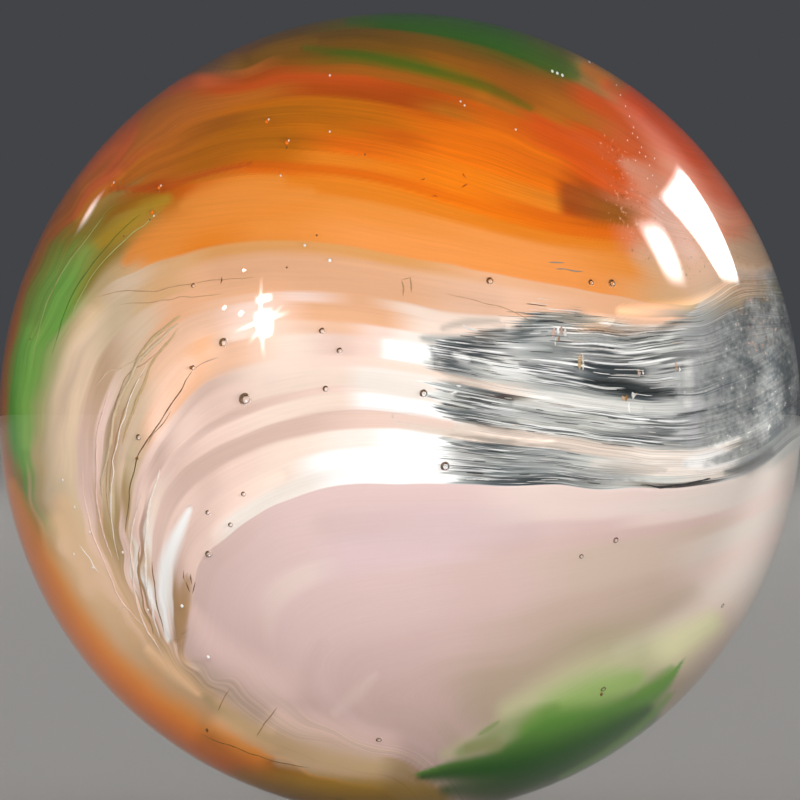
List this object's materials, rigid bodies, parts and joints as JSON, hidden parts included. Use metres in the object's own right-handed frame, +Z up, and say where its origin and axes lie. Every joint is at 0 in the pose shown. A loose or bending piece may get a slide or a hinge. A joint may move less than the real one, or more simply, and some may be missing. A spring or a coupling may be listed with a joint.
{
  "type": "glass marble",
  "caption": "Solid glass ball with a folded swirl of opal, clear, peach, orange and red glass, green streaks at the surface and fine trapped air bubbles.",
  "frame": {"origin": "centre of the ball", "axes": "+Z up, -Y the side that shows the fold, +X to its right"},
  "size_m": [0.016, 0.016, 0.016],
  "materials": {
    "glass": "fire-polished, glossy, slightly scuffed"
  },
  "bodies": {
    "root": {"marble": "glass"}
  },
  "joints": []
}
